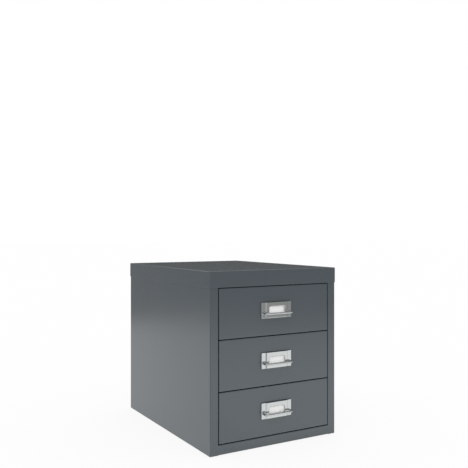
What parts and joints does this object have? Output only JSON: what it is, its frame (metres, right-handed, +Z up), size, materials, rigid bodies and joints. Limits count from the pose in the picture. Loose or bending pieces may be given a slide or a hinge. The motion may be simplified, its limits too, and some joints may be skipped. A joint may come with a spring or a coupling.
{
  "type": "multi-drawer cabinet",
  "caption": "Desktop steel cabinet with a capped lid and full-width drawers on plain runners, each with a bow pull and card frame.",
  "frame": {"origin": "on the floor, under the middle of the whole object's box, pulls included", "axes": "+Z up, +X to the right seen from the front, +Y to the back; the drawers open towards -Y"},
  "size_m": [0.279, 0.3938, 0.325],
  "materials": {
    "powder_coat": "satin dark grey powder coat with fine orange peel",
    "chrome": "bright chrome plate",
    "card": "plain white card",
    "nylon": "moulded natural nylon",
    "rubber": "moulded black rubber",
    "zinc": "bright zinc plate"
  },
  "bodies": {
    "cabinet": {"top_lid": "powder_coat", "left_side_panel": "powder_coat", "right_side_panel": "powder_coat", "back_panel": "powder_coat", "base_pan": "powder_coat", "top_front_rail": "powder_coat", "left_runner_panel": "powder_coat", "right_runner_panel": "powder_coat", "runner_glides": "nylon", "runner_buffers": "rubber", "rubber_feet": "rubber", "left_top_runner": "powder_coat", "left_middle_runner": "powder_coat", "left_bottom_runner": "powder_coat", "right_top_runner": "powder_coat", "right_middle_runner": "powder_coat", "right_bottom_runner": "powder_coat"},
    "top_drawer": {"top_drawer_tray": "powder_coat", "top_drawer_back": "powder_coat", "top_drawer_front": "powder_coat", "top_drawer_slide_shoes": "nylon", "top_drawer_card_frame": "chrome", "top_drawer_label_card": "card", "top_drawer_pull_bow": "chrome", "top_drawer_pull_screws": "zinc"},
    "middle_drawer": {"middle_drawer_tray": "powder_coat", "middle_drawer_back": "powder_coat", "middle_drawer_front": "powder_coat", "middle_drawer_slide_shoes": "nylon", "middle_drawer_card_frame": "chrome", "middle_drawer_label_card": "card", "middle_drawer_pull_bow": "chrome", "middle_drawer_pull_screws": "zinc"},
    "bottom_drawer": {"bottom_drawer_tray": "powder_coat", "bottom_drawer_back": "powder_coat", "bottom_drawer_front": "powder_coat", "bottom_drawer_slide_shoes": "nylon", "bottom_drawer_card_frame": "chrome", "bottom_drawer_label_card": "card", "bottom_drawer_pull_bow": "chrome", "bottom_drawer_pull_screws": "zinc"}
  },
  "joints": [
    {"name": "top_drawer_slide", "type": "slide", "parent": "cabinet", "child": "top_drawer", "axis": [0, -1, 0], "range_m": [0, 0.29]},
    {"name": "middle_drawer_slide", "type": "slide", "parent": "cabinet", "child": "middle_drawer", "axis": [0, -1, 0], "range_m": [0, 0.29]},
    {"name": "bottom_drawer_slide", "type": "slide", "parent": "cabinet", "child": "bottom_drawer", "axis": [0, -1, 0], "range_m": [0, 0.29]}
  ]
}
